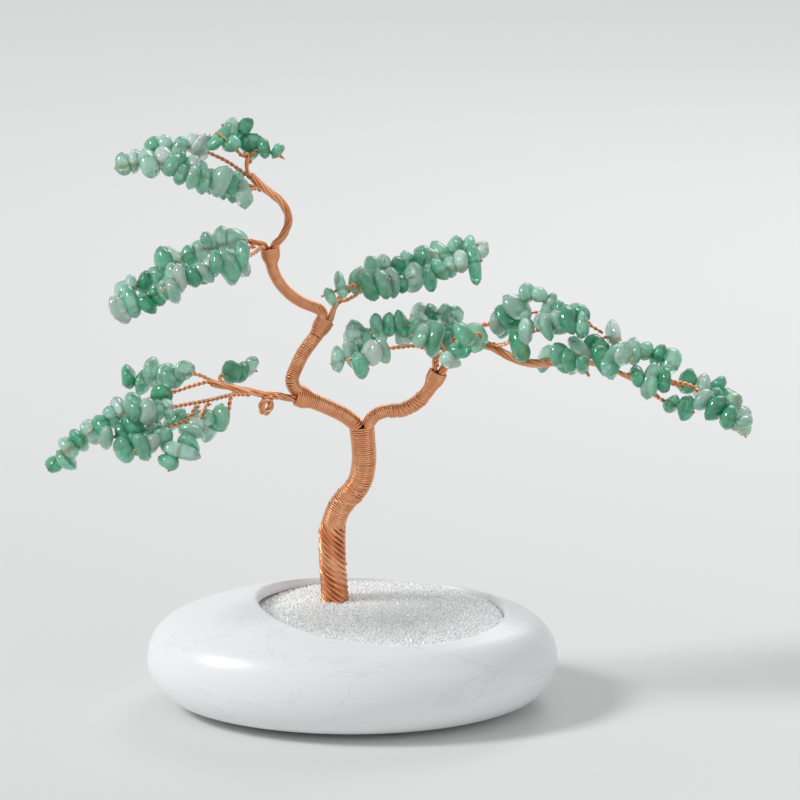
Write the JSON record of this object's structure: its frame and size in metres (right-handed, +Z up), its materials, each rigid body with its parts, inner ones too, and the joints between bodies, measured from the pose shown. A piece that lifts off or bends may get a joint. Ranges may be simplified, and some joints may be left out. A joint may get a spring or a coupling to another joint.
{
  "type": "gemstone tree ornament",
  "caption": "Copper wire bonsai tree strung with drilled green stone chips, planted in white quartz gravel in a glazed ceramic pebble pot; a small table ornament.",
  "frame": {"origin": "centre of the flat foot under the pot, on the table", "axes": "+Z up, +X along the pot towards the long drooping branch, +Y to the back"},
  "size_m": [0.2373, 0.104, 0.207],
  "materials": {
    "glaze": "white satin glaze with faint grey marbling",
    "plaster": "plain set plaster, hidden under the gravel",
    "quartz": "loose white and clear quartz grit",
    "copper": "bare bright copper wire",
    "green_stone": "tumbled and polished translucent green stone"
  },
  "bodies": {
    "tree": {"arm": "copper", "arm_chips": "green_stone", "arm_end": "copper", "arm_mid_chips": "green_stone", "crown_limb": "copper", "crown_row_chips": "green_stone", "crown_spray_chips": "green_stone", "crown_thin_chips": "green_stone", "crown_twigs": "copper", "gravel_bed": "quartz", "inner_back_chips": "green_stone", "inner_front_chips": "green_stone", "inner_low_chips": "green_stone", "inner_stem": "copper", "inner_twigs": "copper", "inner_up_chips": "green_stone", "left_binding": "copper", "left_limb": "copper", "low_drop_chips": "green_stone", "low_front_chips": "green_stone", "low_hang_chips": "green_stone", "low_main_chips": "green_stone", "low_stem": "copper", "low_twigs": "copper", "low_upper_chips": "green_stone", "mid_back_chips": "green_stone", "mid_front_chips": "green_stone", "mid_stem": "copper", "mid_twigs": "copper", "middle_binding": "copper", "middle_limb": "copper", "outer_mid_chips": "green_stone", "outer_thin_chips": "green_stone", "outer_twigs": "copper", "plaster_plug": "plaster", "pot_shell": "glaze", "right_binding": "copper", "right_limb": "copper", "root_ends": "copper", "root_strands": "copper", "spray_stem": "copper", "tendril": "copper", "tip_chips": "green_stone", "tip_twigs": "copper", "top_back_chips": "green_stone", "top_front_chips": "green_stone", "top_grains": "quartz", "top_stem": "copper", "top_twigs": "copper", "trunk_binding": "copper", "trunk_core": "copper", "upper_binding": "copper", "upper_limb": "copper"},
    "crown_oval_chip": {"crown_oval_chip": "green_stone"},
    "crown_square_chip": {"crown_square_chip": "green_stone"},
    "long_green_chip": {"long_green_chip": "green_stone"},
    "pair_far_chip": {"pair_far_chip": "green_stone"},
    "pair_near_chip": {"pair_near_chip": "green_stone"},
    "tip_far_chip": {"tip_far_chip": "green_stone"},
    "tip_near_chip": {"tip_near_chip": "green_stone"}
  },
  "joints": [
    {"name": "crown_oval_turn", "type": "hinge", "parent": "tree", "child": "crown_oval_chip", "pos_m": [-0.04273, -0.00973, 0.20203], "axis": [-0.7141, -0.251, 0.6535], "range_deg": [-30, 30]},
    {"name": "crown_square_turn", "type": "hinge", "parent": "tree", "child": "crown_square_chip", "pos_m": [-0.0254, -0.00201, 0.19478], "axis": [0.902, 0.013, -0.4315], "range_deg": [-30, 30]},
    {"name": "long_green_turn", "type": "hinge", "parent": "tree", "child": "long_green_chip", "pos_m": [0.07766, -0.03088, 0.12781], "axis": [0.6678, -0.399, -0.6284], "range_deg": [-30, 30]},
    {"name": "pair_far_turn", "type": "hinge", "parent": "tree", "child": "pair_far_chip", "pos_m": [-0.00735, -0.00194, 0.1465], "axis": [-0.9338, -0.0983, -0.344], "range_deg": [-30, 30]},
    {"name": "pair_near_turn", "type": "hinge", "parent": "tree", "child": "pair_near_chip", "pos_m": [-0.00316, -0.0015, 0.14805], "axis": [-0.9338, -0.0983, -0.344], "range_deg": [-30, 30]},
    {"name": "tip_far_turn", "type": "hinge", "parent": "tree", "child": "tip_far_chip", "pos_m": [0.11231, -0.0326, 0.11398], "axis": [0.9285, -0.1655, -0.3323], "range_deg": [-30, 30]},
    {"name": "tip_near_turn", "type": "hinge", "parent": "tree", "child": "tip_near_chip", "pos_m": [0.10752, -0.03163, 0.11558], "axis": [0.9212, -0.2246, -0.3177], "range_deg": [-30, 30]}
  ]
}
